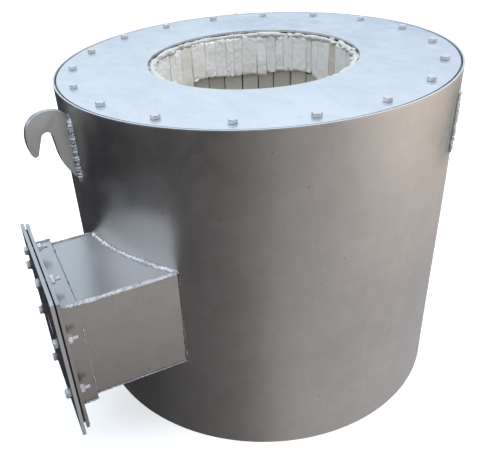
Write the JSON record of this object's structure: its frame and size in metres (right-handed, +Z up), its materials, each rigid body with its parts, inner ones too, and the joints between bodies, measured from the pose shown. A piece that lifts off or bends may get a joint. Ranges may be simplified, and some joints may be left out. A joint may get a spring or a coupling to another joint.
{
  "type": "gas forge",
  "caption": "Top-opening round gas forge: steel drum lined with ceramic-fibre strips, bolted cover ring, lifting hooks and a square tangential burner duct with a blanking plate.",
  "frame": {"origin": "centre of the drum's underside, on the floor", "axes": "+Z up along the drum's axis; the burner duct points along -Y and its axis is at +X"},
  "size_m": [0.7427, 0.8148, 0.6051],
  "materials": {
    "drum_steel": "satin",
    "plate_steel": "satin",
    "duct_steel": "satin",
    "dark_steel": "satin",
    "hook_steel": "satin",
    "zinc": "satin",
    "fibre": "matte",
    "hearth": "matte",
    "gasket": "matte"
  },
  "bodies": {
    "root": {"backing_blanket": "fibre", "base_plate": "dark_steel", "burner_plate": "dark_steel", "duct_bottom": "duct_steel", "duct_left": "duct_steel", "duct_lining": "fibre", "duct_right": "duct_steel", "duct_top": "duct_steel", "flange_angle_bottom": "duct_steel", "flange_angle_left": "duct_steel", "flange_angle_right": "duct_steel", "flange_angle_top": "duct_steel", "gasket": "gasket", "hearth_floor": "hearth", "lifting_hook_1": "hook_steel", "lifting_hook_2": "hook_steel", "lining_lower": "fibre", "lining_upper": "fibre", "plate_bolt_1": "zinc", "plate_bolt_2": "zinc", "plate_bolt_3": "zinc", "plate_bolt_4": "zinc", "plate_bolt_5": "zinc", "plate_bolt_6": "zinc", "plate_bolt_7": "zinc", "plate_bolt_8": "zinc", "plate_nut_1": "zinc", "plate_nut_2": "zinc", "plate_nut_3": "zinc", "plate_nut_4": "zinc", "plate_nut_5": "zinc", "plate_nut_6": "zinc", "plate_nut_7": "zinc", "plate_nut_8": "zinc", "shell": "drum_steel", "top_bolt_01": "zinc", "top_bolt_02": "zinc", "top_bolt_03": "zinc", "top_bolt_04": "zinc", "top_bolt_05": "zinc", "top_bolt_06": "zinc", "top_bolt_07": "zinc", "top_bolt_08": "zinc", "top_bolt_09": "zinc", "top_bolt_10": "zinc", "top_bolt_11": "zinc", "top_bolt_12": "zinc", "top_bolt_13": "zinc", "top_bolt_14": "zinc", "top_bolt_15": "zinc", "top_bolt_16": "zinc", "top_bolt_17": "zinc", "top_bolt_18": "zinc", "top_plate": "plate_steel", "top_ring": "dark_steel"}
  },
  "joints": []
}
